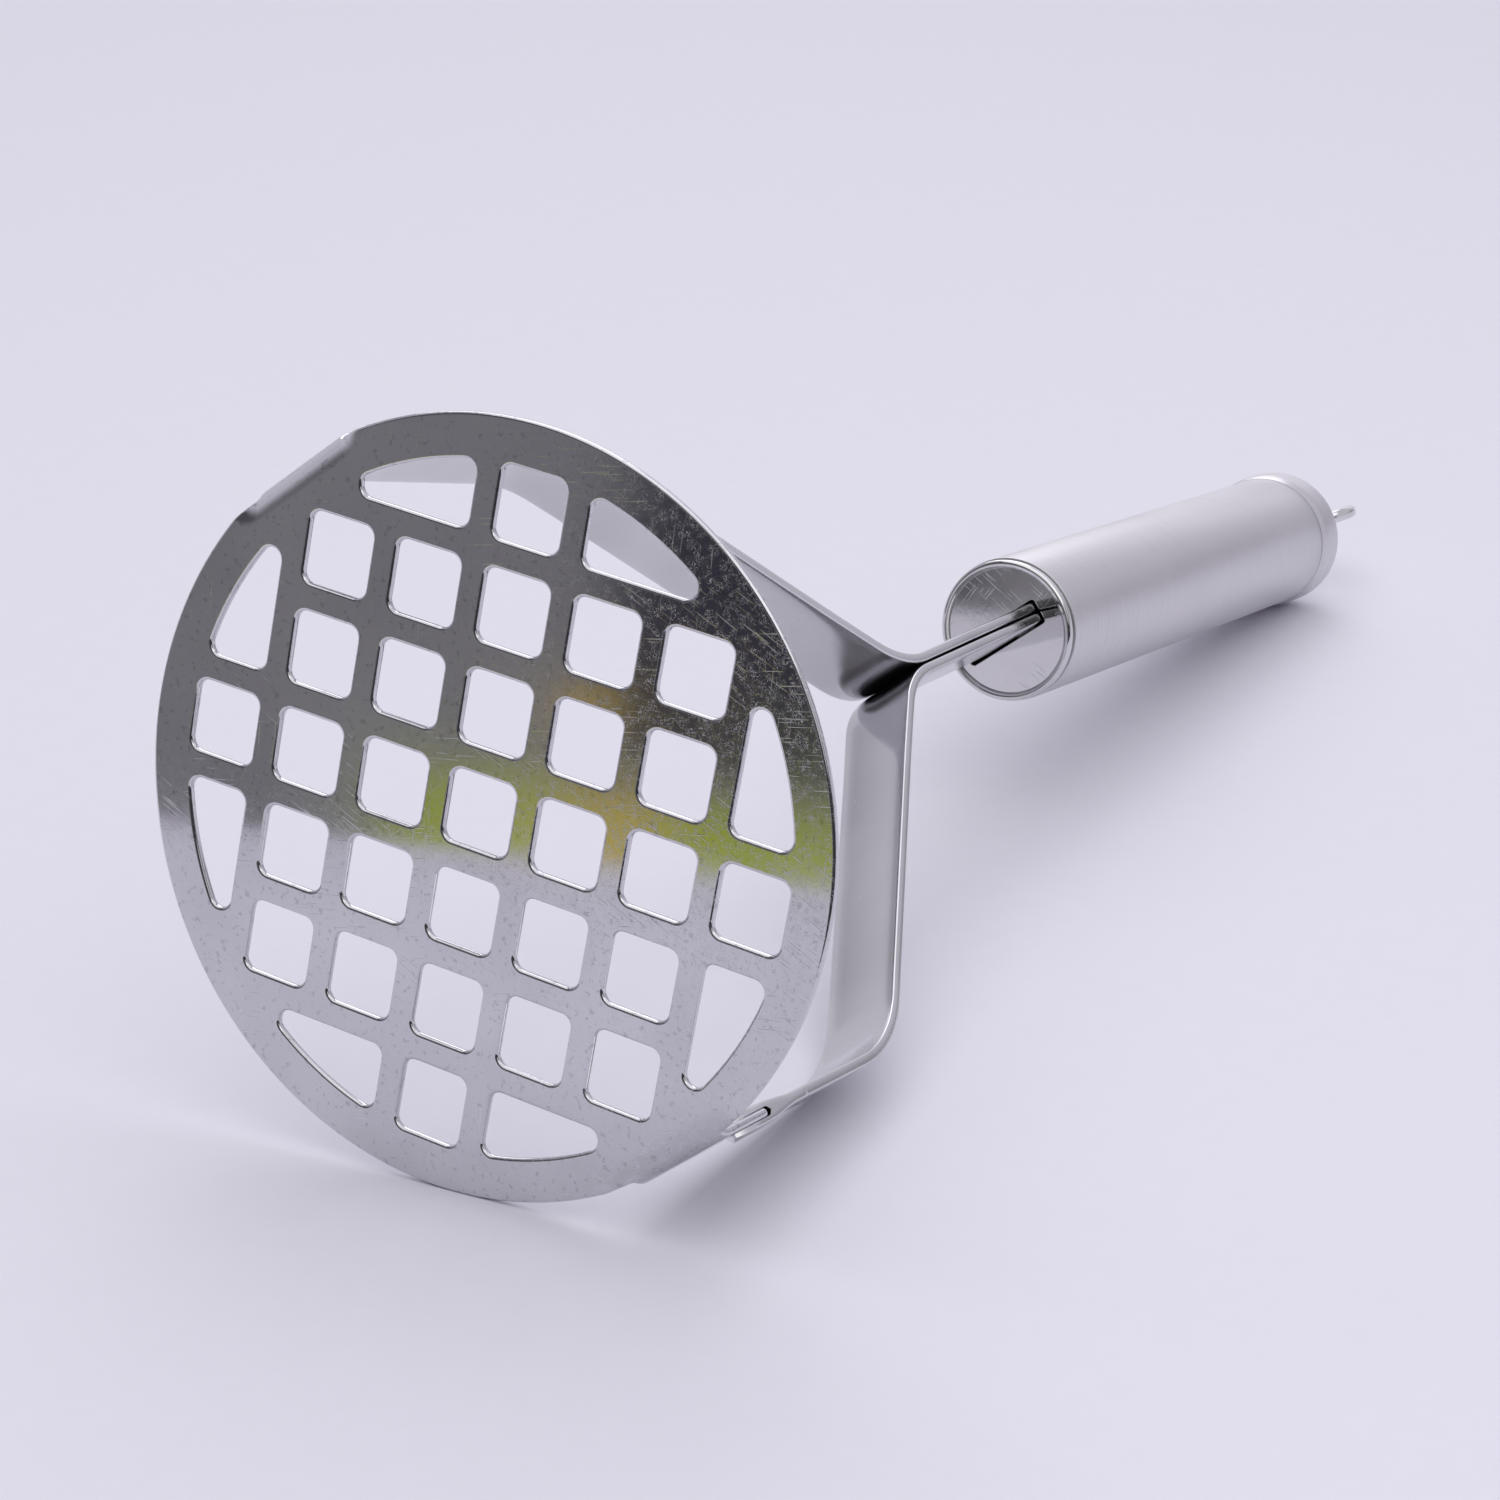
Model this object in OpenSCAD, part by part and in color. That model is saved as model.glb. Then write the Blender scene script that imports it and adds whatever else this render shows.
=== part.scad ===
// Potato masher: a punched round plate on two bent strip arms, with a tubular handle and a hanging eye.
// It stands on its mashing face: the origin is the centre of that face and +Z runs up the handle.
// The arms lie in the XZ plane. Every size is in millimetres.

/* [Plate] */
// Diameter of the mashing plate
plate_d = 84.8; // [84:0.2:92]
// Thickness of the plate's sheet
plate_t = 1; // [0.8:0.1:1.2]
// Distance between the centres of neighbouring holes
hole_pitch = 11.1; // [10.8:0.1:11.3]
// Side of a square hole
hole_w = 8.05; // [7:0.05:8.4]
// Corner radius of a hole
hole_corner = 1.3; // [0.6:0.1:1.6]
// Plain border between the outer holes and the plate's edge
rim_w = 4.9; // [4:0.1:6]
// Width of the two tabs folded up at the edge
tab_w = 12.8; // [11:0.1:14]
// Height of a tab's top above the mashing face
tab_h = 12; // [10:0.5:13]
// Inner radius of the fold at the foot of a tab
fold_r = 2.5; // [1:0.1:2.5]

/* [Arms] */
// Thickness of an arm, which is pressed from doubled sheet
arm_t = 1.5; // [1.3:0.1:1.6]
// Width of an arm at its foot, over the plate's tab
foot_w = 12.2; // [11:0.1:13]
// Width of an arm between its bends
arm_w = 10.5; // [9:0.1:12]
// Width of an arm at the neck, where it enters the handle
neck_w = 10.9; // [10:0.1:11]
// Height of the shoulder bend of the right arm
right_shoulder_z = 43.4; // [40:0.1:46]
// Height of the shoulder bend of the left arm
left_shoulder_z = 44.7; // [42:0.1:47]
// How far the left arm leans inward between its foot and its shoulder
left_lean = 4.3; // [0:0.1:5]
// Radius of the right arm's shoulder bend
right_shoulder_r = 22; // [15:1:25]
// Radius of the left arm's shoulder bend
left_shoulder_r = 16; // [12:1:22]
// Height at which the arms come together
neck_z = 91; // [88:0.5:94]
// Sideways offset of the seam between the arms at that height
neck_x = 1.7; // [0:0.1:2]
// Radius of the bend from arm to neck
neck_r = 14; // [10:1:16]
// Depth of the arm tails inside the handle
tail_len = 12; // [10:0.5:16]

/* [Handle] */
// Height of the handle's front face above the mashing face
handle_z = 130; // [126:1:140]
// Length of the handle tube
tube_len = 91.2; // [80:0.1:110]
// Outer diameter of the handle tube
tube_d = 19.3; // [18:0.1:22]
// Wall of the handle tube
tube_wall = 0.8; // [0.6:0.1:1]
// Diameter of the front cap
front_cap_d = 19; // [17.8:0.1:19.2]
// Length of the front cap outside the tube
front_cap_len = 1.5; // [1.5:0.1:5]
// Length of the slot in the front cap
slot_len = 12.7; // [12.6:0.1:13.6]
// Width of the slot in the front cap
slot_w = 3.5; // [3.4:0.1:4]
// Sideways offset of the slot's middle from the cap's centre
slot_shift = 0.7; // [0:0.1:0.8]
// Diameter of the rear cap
rear_cap_d = 20.1; // [19.6:0.1:22.5]
// Length of the rear cap outside the tube
rear_cap_len = 8; // [7:0.5:10]
// Radius of the rear cap's rounded edge
rear_edge_r = 3; // [2:0.5:4]

/* [Hanging eye] */
// Diameter of the eye's wire
wire_d = 2; // [1.6:0.1:2.4]
// Outer diameter of the eye
eye_d = 15; // [13:0.5:18]
// Length of the shank between the rear cap and the eye
shank_len = 4.6; // [3:0.2:6]
// Diameter of the shank that turns in the rear cap
shank_d = 3; // [2.6:0.1:3.4]
// Angle to which the eye is turned at rest
eye_turn = 11.5; // [0:0.5:360]

/* [Hidden] */
$fn = 64;

plate_r = plate_d / 2;
hole_zone_r = plate_r - rim_w;
sheet_gap = 0.05;
running_gap = 0.05;
tab_x = plate_r - plate_t / 2;
fold_x = plate_r - plate_t - fold_r;

leaf_t = arm_t / 2;
leaf_in = plate_t / 2 + sheet_gap;
leaf_out = leaf_in + leaf_t;
leaf_z = 3.6;
leaf_end_z = tab_h + 7;
gap_end_z = tab_h + 1.5;
tongue_len = 6;
cut_end_z = tab_h + 9;
pressed_t = 0.5;
pressed_len = 5.5;
taper_end_z = 50;
foot_steps = 16;
arc_steps = 14;

tail_z = handle_z + tail_len;
seam_lean = neck_x / (handle_z - neck_z);
rivet_z = handle_z + 7;
rivet_d = 3;
rivet_head_d = 5.4;
rivet_head_t = 1;

cap_t = 0.9;
bead_r = 0.5;
cap_recess = 0.5;
skirt_len = 4;
bore_r = tube_d / 2 - tube_wall;
skirt_r = bore_r - 0.02;
tube_z = handle_z + front_cap_len;
rear_z = tube_z + tube_len;
rear_top_z = rear_z + rear_cap_len;

shank_r = shank_d / 2;
eye_r = (eye_d - wire_d) / 2;
eye_z = rear_top_z + shank_len + eye_d / 2;
collar_d = 5;
collar_t = 0.8;
washer_d = 7.5;
washer_t = 0.8;
washer_z = rear_top_z - cap_t - 0.15 - washer_t;
peen_t = 0.7;

// Unit vector along a heading, and the one to its left.
function ahead(h) = [cos(h), sin(h)];
function left(h) = [-sin(h), cos(h)];
function heading(a, b) = atan2(b.y - a.y, b.x - a.x);

// Points and headings along the rounded corner b of the path a-b-c.
function corner(a, b, c, r) =
    let (h = heading(a, b), turn = heading(b, c) - h, s = sign(turn))
    let (start = b - ahead(h) * r * tan(abs(turn) / 2), centre = start + left(h) * r * s)
    [for (i = [0:arc_steps]) let (k = h + turn * i / arc_steps) [centre - left(k) * r * s, k]];

// One side of a path, at distance d to its left.
function side_of(path, d) = [for (p = path) p[0] + left(p[1]) * d];

function reversed(list) = [for (i = [len(list) - 1:-1:0]) list[i]];

// Smooth step that falls from 1 at a to 0 at b.
function fall(z, a, b) = z <= a ? 1 : z >= b ? 0 : (1 + cos(180 * (z - a) / (b - a))) / 2;

// Sideways position of the seam between the two arms.
function seam_x(z) = seam_lean * (handle_z - z);

// Centre line of an arm in the XZ plane, from its foot to its tail.
function arm_path(side, shoulder_z, shoulder_r, lean) =
    let (foot = [side * tab_x, leaf_end_z], shoulder = [side * (tab_x - lean), shoulder_z])
    let (half = arm_t / 2 + sheet_gap)
    let (neck = [seam_x(neck_z) + side * half, neck_z], tail = [seam_x(tail_z) + side * half, tail_z])
    concat(corner(foot, shoulder, neck, shoulder_r), corner(shoulder, neck, tail, neck_r),
           [[tail, heading(neck, tail)]]);

module square_hole() {
    inner = hole_w - 2 * hole_corner;
    square([hole_w, inner], center = true);
    square([inner, hole_w], center = true);
    for (x = [-1, 1], y = [-1, 1])
        translate([x, y] * inner / 2)
            circle(hole_corner, $fn = 32);
}

// Hole beside the middle one of the outer row: it runs outward until the border's circle cuts it off.
module clipped_hole() {
    offset(r = hole_corner, $fn = 32)
        offset(delta = -hole_corner)
            intersection() {
                translate([hole_pitch - hole_w / 2, 3 * hole_pitch - hole_w / 2])
                    square([2 * hole_pitch, hole_w]);
                circle(hole_zone_r, $fn = 180);
            }
}

// The grid of holes lies at 45 degrees to the arms.
module hole_grid() {
    rotate(-45) {
        for (i = [-3:3], j = [-3:3])
            if (norm([i, j]) <= 3)
                translate([i, j] * hole_pitch)
                    square_hole();
        for (a = [0:90:270], k = [0, 1])
            rotate(a)
                mirror([k, 0])
                    clipped_hole();
    }
}

// Section of a folded tab, on the side of +X.
module tab_section() {
    outer_r = fold_r + plate_t;
    translate([fold_x - 3, 0])
        square([3, plate_t]);
    intersection() {
        translate([fold_x, outer_r])
            difference() {
                circle(outer_r);
                circle(fold_r);
            }
        translate([fold_x, 0])
            square(outer_r);
    }
    translate([fold_x + fold_r, outer_r])
        square([plate_t, tab_h - outer_r]);
}

module masher_plate() color("silver") {
    linear_extrude(plate_t)
        difference() {
            circle(plate_r, $fn = 180);
            hole_grid();
            for (a = [0, 180])
                rotate(a)
                    translate([fold_x, -tab_w / 2])
                        square([plate_r, tab_w]);
        }
    for (a = [0, 180])
        rotate(a)
            translate([0, tab_w / 2, 0])
                rotate([90, 0, 0])
                    linear_extrude(tab_w)
                        tab_section();
}

// Half thickness of an arm's foot, which opens into two leaves over the plate's tab and is pressed thin at its
// end, and of the gap inside it.
function foot_half(z) = leaf_t + (leaf_out - leaf_t) * fall(z, tab_h - 1, leaf_end_z)
                        - pressed_t * fall(z, leaf_z, leaf_z + pressed_len);
function gap_half(z) = leaf_in * fall(z, tab_h + 0.2, gap_end_z);

// Section of an arm in the XZ plane: the two leaves of the foot run together into one strip.
module arm_section(side, shoulder_z, shoulder_r, lean) {
    path = arm_path(side, shoulder_z, shoulder_r, lean);
    foot_zs = [for (i = [0:foot_steps]) leaf_z + (leaf_end_z - leaf_z) * i / foot_steps];
    gap_zs = [for (i = [0:foot_steps]) leaf_z + (gap_end_z - leaf_z) * i / foot_steps];
    left_edge = concat([for (z = foot_zs) [side * tab_x - foot_half(z), z]], side_of(path, arm_t / 2));
    right_edge = concat([for (z = foot_zs) [side * tab_x + foot_half(z), z]], side_of(path, -arm_t / 2));
    gap_edge = [for (z = gap_zs) [side * tab_x - gap_half(z), z]];
    polygon(concat(left_edge, reversed(right_edge), [for (p = gap_edge) [2 * side * tab_x - p.x, p.y]],
                   reversed(gap_edge)));
}

// Outline of an arm seen along X: a tongue at the foot, then a slow taper to the width between the bends.
module arm_outline() {
    tongue = [for (a = [15:15:90]) [foot_w / 2 * sin(a), leaf_z + tongue_len * (1 - cos(a))]];
    strip = [[foot_w / 2, leaf_end_z], [arm_w / 2, taper_end_z], [arm_w / 2, neck_z - 12],
             [neck_w / 2, neck_z + 2], [neck_w / 2, tail_z + 1]];
    half = concat(tongue, strip);
    polygon(concat(half, reversed([for (p = half) [-p.x, p.y]])));
}

// What the slanted cut takes off the outer leaf of an arm's foot.
module foot_cut(side) {
    half = foot_w / 2;
    translate([side > 0 ? tab_x : -tab_x - 3, 0, 0])
        rotate([90, 0, 90])
            linear_extrude(3)
                polygon([[-half - 1, 0], [half + 1, 0], [half + 1, cut_end_z], [half, cut_end_z], [-half, leaf_z]]);
}

module arm(side, shoulder_z, shoulder_r, lean) {
    difference() {
        intersection() {
            translate([0, 8, 0])
                rotate([90, 0, 0])
                    linear_extrude(16)
                        arm_section(side, shoulder_z, shoulder_r, lean);
            translate([-plate_r - 5, 0, 0])
                rotate([90, 0, 90])
                    linear_extrude(plate_d + 10)
                        arm_outline();
        }
        foot_cut(side);
        translate([-10, 0, rivet_z])
            rotate([0, 90, 0])
                cylinder(h = 20, r = rivet_d / 2 + running_gap);
    }
}

module arm_right() color("gainsboro") arm(1, right_shoulder_z, right_shoulder_r, 0);

module arm_left() color("gainsboro") arm(-1, left_shoulder_z, left_shoulder_r, left_lean);

// Half section of the pressed front cap: a recessed face in a beaded lip, and a skirt inside the tube.
module front_cap_section() {
    r = front_cap_d / 2;
    translate([0, cap_recess])
        square([r - bead_r, cap_t]);
    translate([r - bead_r, bead_r])
        circle(bead_r, $fn = 48);
    translate([r - 2 * bead_r, bead_r])
        square([2 * bead_r, front_cap_len - bead_r]);
    translate([skirt_r - cap_t, cap_recess])
        square([cap_t, front_cap_len - cap_recess + skirt_len]);
}

module front_cap() color("lightgray")
    difference() {
        translate([0, 0, handle_z])
            rotate_extrude()
                front_cap_section();
        translate([0, slot_shift, handle_z + cap_recess])
            cube([slot_w, slot_len, 4], center = true);
    }

module tail_rivet() color("darkgray")
    translate([seam_x(rivet_z), 0, rivet_z])
        rotate([0, 90, 0]) {
            grip = arm_t + 3 * sheet_gap + 0.05;
            translate([0, 0, -grip])
                cylinder(h = 2 * grip, r = rivet_d / 2);
            for (s = [-1, 1])
                translate([0, 0, s * (grip + rivet_head_t / 2)])
                    cylinder(h = rivet_head_t, r = rivet_head_d / 2, center = true);
        }

module handle_tube() color("lightgray")
    translate([0, 0, tube_z])
        difference() {
            cylinder(h = tube_len, r = tube_d / 2, $fn = 96);
            translate([0, 0, -1])
                cylinder(h = tube_len + 2, r = bore_r, $fn = 96);
        }

// Half section of a round cap of radius r and height h with its top edge rounded by e.
module rounded_half(r, h, e) {
    square([r, h - e]);
    square([r - e, h]);
    intersection() {
        translate([r - e, h - e])
            circle(e, $fn = 48);
        translate([r - e, h - e])
            square(e);
    }
}

module rear_cap() color("lightgray")
    translate([0, 0, rear_z])
        difference() {
            union() {
                rotate_extrude($fn = 96)
                    rounded_half(rear_cap_d / 2, rear_cap_len, rear_edge_r);
                translate([0, 0, -skirt_len])
                    cylinder(h = skirt_len + 1, r = skirt_r, $fn = 96);
            }
            translate([0, 0, -skirt_len - 1])
                rotate_extrude($fn = 96)
                    rounded_half(skirt_r - cap_t, rear_cap_len + skirt_len + 1 - cap_t, rear_edge_r - cap_t);
            cylinder(h = rear_cap_len + 1, r = shank_r + running_gap);
        }

module hanging_eye() color("silver") {
    translate([0, 0, eye_z])
        rotate([0, 90, eye_turn])
            rotate_extrude($fn = 96)
                translate([eye_r, 0])
                    circle(wire_d / 2, $fn = 32);
    translate([0, 0, washer_z - peen_t])
        cylinder(h = rear_top_z + shank_len + wire_d / 2 - washer_z + peen_t, r = shank_r);
    translate([0, 0, rear_top_z + 0.15])
        cylinder(h = collar_t, r = collar_d / 2);
    translate([0, 0, washer_z - peen_t - running_gap])
        cylinder(h = peen_t, r = shank_r + 0.8);
}

module eye_washer() color("darkgray")
    translate([0, 0, washer_z])
        difference() {
            cylinder(h = washer_t, r = washer_d / 2);
            translate([0, 0, -1])
                cylinder(h = washer_t + 2, r = shank_r + running_gap);
        }

masher_plate();
arm_right();
arm_left();
front_cap();
tail_rivet();
handle_tube();
rear_cap();
hanging_eye();
eye_washer();
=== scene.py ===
"""A stainless steel potato masher on a pale floor: plate, two arms, tube handle, caps and hanging eye."""

import math
import bmesh
import bpy
from mathutils import Matrix, Vector

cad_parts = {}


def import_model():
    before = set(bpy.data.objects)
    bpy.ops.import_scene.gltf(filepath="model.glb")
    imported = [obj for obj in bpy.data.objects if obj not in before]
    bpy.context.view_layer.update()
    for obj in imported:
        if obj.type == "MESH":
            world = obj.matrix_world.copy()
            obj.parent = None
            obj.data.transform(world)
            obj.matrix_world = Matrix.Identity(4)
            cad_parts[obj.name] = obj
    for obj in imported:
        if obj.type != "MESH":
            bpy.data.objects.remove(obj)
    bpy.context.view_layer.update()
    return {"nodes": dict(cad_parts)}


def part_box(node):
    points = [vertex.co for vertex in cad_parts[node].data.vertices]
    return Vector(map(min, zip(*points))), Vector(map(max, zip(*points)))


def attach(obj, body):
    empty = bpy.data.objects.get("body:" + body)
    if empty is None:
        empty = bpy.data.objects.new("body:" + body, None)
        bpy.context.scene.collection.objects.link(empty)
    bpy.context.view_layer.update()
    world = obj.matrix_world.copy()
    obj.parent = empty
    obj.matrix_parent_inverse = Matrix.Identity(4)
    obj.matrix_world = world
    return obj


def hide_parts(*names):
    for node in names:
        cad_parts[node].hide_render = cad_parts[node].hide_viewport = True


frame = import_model()

# Sizes are in millimetres and places come from the frame; meshes are scaled to metres at the end.
MM = 0.001


def box_mm(node):
    """Lowest and highest corner of a CAD node, in millimetres."""
    low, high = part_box(node)
    return low / MM, high / MM


PLATE_LOW, PLATE_HIGH = box_mm("masher_plate")
ARM_LOW, ARM_HIGH = box_mm("arm_right")
CAP_LOW, CAP_HIGH = box_mm("front_cap")
TUBE_LOW, TUBE_HIGH = box_mm("handle_tube")
REAR_LOW, REAR_HIGH = box_mm("rear_cap")
EYE_LOW, EYE_HIGH = box_mm("hanging_eye")

# Plate: a flat disc with a grid of square holes and a folded tab at each end of X.
PLATE_R = PLATE_HIGH.y
TAB_TOP = PLATE_HIGH.z
SHEET = 1.0
HOLE_PITCH = 11.1
HOLE_W = 8.05
HOLE_CORNER = 1.3
HOLE_ZONE_R = PLATE_R - 4.9
TAB_W = 12.8
TAB_CORNER = 1.0
TAB_ROOT_R = 0.35
FOLD_INNER_R = 2.5
FOLD_X = PLATE_R - SHEET - FOLD_INNER_R
FOLD_ARC = math.pi / 2 * (FOLD_INNER_R + SHEET / 2)
FOLD_FADE = 3.6
PLATE_EDGE = 0.38

# Arms: flattened tubes whose feet open into two leaves round a tab.
TAB_X = PLATE_R - SHEET / 2
ARM_T = 1.5
FOOT_W = 12.2
ARM_W = 10.4
NECK_W = 10.8
LEAF_Z = ARM_LOW.z
TONGUE = 6.0
MERGE_Z = TAB_TOP + 7.0
CUT_Z = TAB_TOP + 9.0
SPLIT_Z = CUT_Z + 0.5
PRESSED_T = 0.5
PRESSED_LEN = 5.5
TAPER_Z = 50.0
NECK_Z = 91.0
NECK_X = 1.7
NECK_R = 14.0
HANDLE_Z = CAP_LOW.z
TAIL_Z = ARM_HIGH.z
SHEET_GAP = 0.05
DISH = 0.17
DISH_EDGE = 0.8
DISH_ROUND = 0.12
RING_POWER = 2 / 7
ARMS = {
    "arm_right": {"side": 1, "shoulder_z": 43.4, "shoulder_r": 22.0, "lean": 0.0},
    "arm_left": {"side": -1, "shoulder_z": 44.7, "shoulder_r": 16.0, "lean": 4.3},
}

# Handle: a front cap with a recessed face and a slot, a tube, and a rear cap with a rounded edge.
CAP_R = CAP_HIGH.y
CAP_FACE_Z = HANDLE_Z + 0.5
CAP_BEAD_R = 0.5
CAP_SHEET = 0.9
CAP_EDGE = 0.12
SKIRT_R = TUBE_HIGH.y - 0.82
SLOT_LEN = 12.7
SLOT_W = 3.5
SLOT_SHIFT = 0.7
SLOT_CORNER = 0.5
TUBE_R = TUBE_HIGH.y
TUBE_WALL = 0.8
REAR_R = REAR_HIGH.y
REAR_EDGE_R = 3.0
REAR_FRONT_Z = TUBE_HIGH.z
REAR_TOP_Z = REAR_HIGH.z

# Hanging eye: a wire loop on a shank that turns in the rear cap.
WIRE_R = 1.0
EYE_R = 6.5
EYE_TURN = 11.5
EYE_Z = EYE_HIGH.z - EYE_R - WIRE_R
SHANK_R = 1.5
SHANK_HEAD_R = 2.3
SHANK_HEAD_T = 0.7
COLLAR_R = 2.5
COLLAR_EDGE_R = 0.3


# Meshes ------------------------------------------------------------------------------------------


def flat_normals(mesh):
    """Gives the points of faces square to X or Z that face's normal, so that flat sheet reflects as flat."""
    nearly_one = 0.999999
    normals = [Vector((0, 0, 0)) for _ in mesh.vertices]
    for polygon in mesh.polygons:
        if max(abs(polygon.normal.x), abs(polygon.normal.z)) > nearly_one:
            for index in polygon.vertices:
                normals[index] = polygon.normal.copy()
    mesh.normals_split_custom_set_from_vertices(normals)


def piece(name, mesh, material, body, node, sharp=40, flat=False):
    """A finished piece: a mesh in millimetres, scaled, smooth-shaded, and riding on its body."""
    mesh.transform(Matrix.Scale(MM, 4))
    tidy = bmesh.new()
    tidy.from_mesh(mesh)
    bmesh.ops.remove_doubles(tidy, verts=tidy.verts, dist=1e-6)
    bmesh.ops.recalc_face_normals(tidy, faces=tidy.faces)
    tidy.to_mesh(mesh)
    tidy.free()
    for polygon in mesh.polygons:
        polygon.use_smooth = True
    mesh.set_sharp_from_angle(angle=math.radians(sharp))
    mesh.materials.clear()
    mesh.materials.append(material)
    obj = bpy.data.objects.new(name, mesh)
    bpy.context.scene.collection.objects.link(obj)
    if flat:
        flat_normals(mesh)
    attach(obj, body)
    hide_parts(node)


def mesh_from(name, verts, faces):
    mesh = bpy.data.meshes.new(name)
    mesh.from_pydata([tuple(v) for v in verts], [], faces)
    mesh.update()
    return mesh


def join(name, *meshes):
    """One mesh made of several."""
    whole = bmesh.new()
    for mesh in meshes:
        whole.from_mesh(mesh)
    result = bpy.data.meshes.new(name)
    whole.to_mesh(result)
    whole.free()
    return result


def cut_sheet(name, loops, thickness, edge):
    """A flat sheet between z = 0 and its thickness, with rounded edges; the first loop is its outline."""
    curve = bpy.data.curves.new(name, "CURVE")
    curve.dimensions = "2D"
    curve.fill_mode = "BOTH"
    curve.extrude = thickness / 2 - edge
    curve.bevel_depth = edge
    curve.bevel_resolution = 3
    curve.offset = -edge
    for loop in loops:
        spline = curve.splines.new("POLY")
        spline.points.add(len(loop) - 1)
        for point, (x, y) in zip(spline.points, loop):
            point.co = (x, y, 0, 1)
        spline.use_cyclic_u = True
    source = bpy.data.objects.new(name, curve)
    mesh = bpy.data.meshes.new_from_object(source)
    bpy.data.objects.remove(source)
    for v in mesh.vertices:
        v.co.z += thickness / 2
    return mesh


def lathe(name, profile, steps=128):
    """A closed shell turned round the Z axis from a closed profile of (radius, height) points."""
    verts, faces = [], []
    for i in range(steps):
        turn = 2 * math.pi * i / steps
        verts += [(r * math.cos(turn), r * math.sin(turn), z) for r, z in profile]
    count = len(profile)
    for i in range(steps):
        j = (i + 1) % steps
        faces += [(i * count + k, j * count + k, j * count + (k + 1) % count, i * count + (k + 1) % count)
                  for k in range(count)]
    return mesh_from(name, verts, faces)


def arc(cx, cz, r, start, end, steps=8):
    """Points of an arc, with angles in degrees."""
    turns = [math.radians(start + (end - start) * i / steps) for i in range(steps + 1)]
    return [(cx + r * math.cos(t), cz + r * math.sin(t)) for t in turns]


def rounded_outline(corners, r, steps=8):
    """A closed outline whose corners, given counter-clockwise, are rounded with radius r."""
    points = []
    for i, corner in enumerate(corners):
        here, before, after = Vector(corner), Vector(corners[i - 1]), Vector(corners[(i + 1) % len(corners)])
        a, b = (here - before).normalized(), (after - here).normalized()
        turn = -a.angle_signed(b)
        start = here - a * r * math.tan(abs(turn) / 2)
        side = math.copysign(1, turn)
        centre = start + Vector((-a.y, a.x)) * r * side
        spoke = start - centre
        for k in range(steps + 1):
            t = turn * k / steps
            points.append((centre.x + spoke.x * math.cos(t) - spoke.y * math.sin(t),
                           centre.y + spoke.x * math.sin(t) + spoke.y * math.cos(t)))
    return points


def turned(points, degrees):
    """Points turned round the origin."""
    c, s = math.cos(math.radians(degrees)), math.sin(math.radians(degrees))
    return [(x * c - y * s, x * s + y * c) for x, y in points]


# Plate -------------------------------------------------------------------------------------------


def rectangle(x, y, half_x, half_y):
    """Corners of a rectangle round (x, y), counter-clockwise."""
    return [(x + i * half_x, y + j * half_y) for i, j in ((-1, -1), (1, -1), (1, 1), (-1, 1))]


def square_hole(i, j):
    return rounded_outline(rectangle(i * HOLE_PITCH, j * HOLE_PITCH, HOLE_W / 2, HOLE_W / 2), HOLE_CORNER)


def wedge_hole():
    """The hole beside the middle one of the outer row: round corners, and cut off by the border's circle."""
    near = HOLE_PITCH - HOLE_W / 2 + HOLE_CORNER
    low = 3 * HOLE_PITCH - HOLE_W / 2 + HOLE_CORNER
    rim = HOLE_ZONE_R - HOLE_CORNER
    tip = Vector((math.sqrt(rim ** 2 - low ** 2), low))
    top = Vector((near, math.sqrt(rim ** 2 - near ** 2)))
    tip_turn, top_turn = (math.degrees(math.atan2(p.y, p.x)) for p in (tip, top))
    outline = arc(near, low, HOLE_CORNER, 180, 270)
    outline += arc(tip.x, tip.y, HOLE_CORNER, -90, tip_turn, 12)
    outline += arc(0, 0, HOLE_ZONE_R, tip_turn, top_turn, 16)[1:-1]
    return outline + arc(top.x, top.y, HOLE_CORNER, top_turn, 180)


def plate_outline():
    """The blank before folding: a circle with a long tab at each end of X."""
    half = TAB_W / 2
    length = FOLD_X + FOLD_ARC + TAB_TOP - SHEET - FOLD_INNER_R
    start = math.degrees(math.asin((half + TAB_ROOT_R) / PLATE_R))
    arch = arc(0, 0, PLATE_R, start, 180 - start, 90)
    root = PLATE_R * math.cos(math.radians(start))
    neck = [(-root - TAB_ROOT_R * 0.3, half + TAB_ROOT_R * 0.3), (-root - TAB_ROOT_R, half)]
    tip = arc(-length + TAB_CORNER, half - TAB_CORNER, TAB_CORNER, 90, 180, 6)
    upper = [(-x, y) for x, y in reversed(neck + tip)] + arch + neck + tip
    return upper + [(-x, -y) for x, y in upper]


def fold_share(y):
    """How far the sheet follows the fold: wholly across a tab, and less and less in the rim beside it."""
    return smooth_fall(abs(y), TAB_W / 2, TAB_W / 2 + FOLD_FADE)


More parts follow.
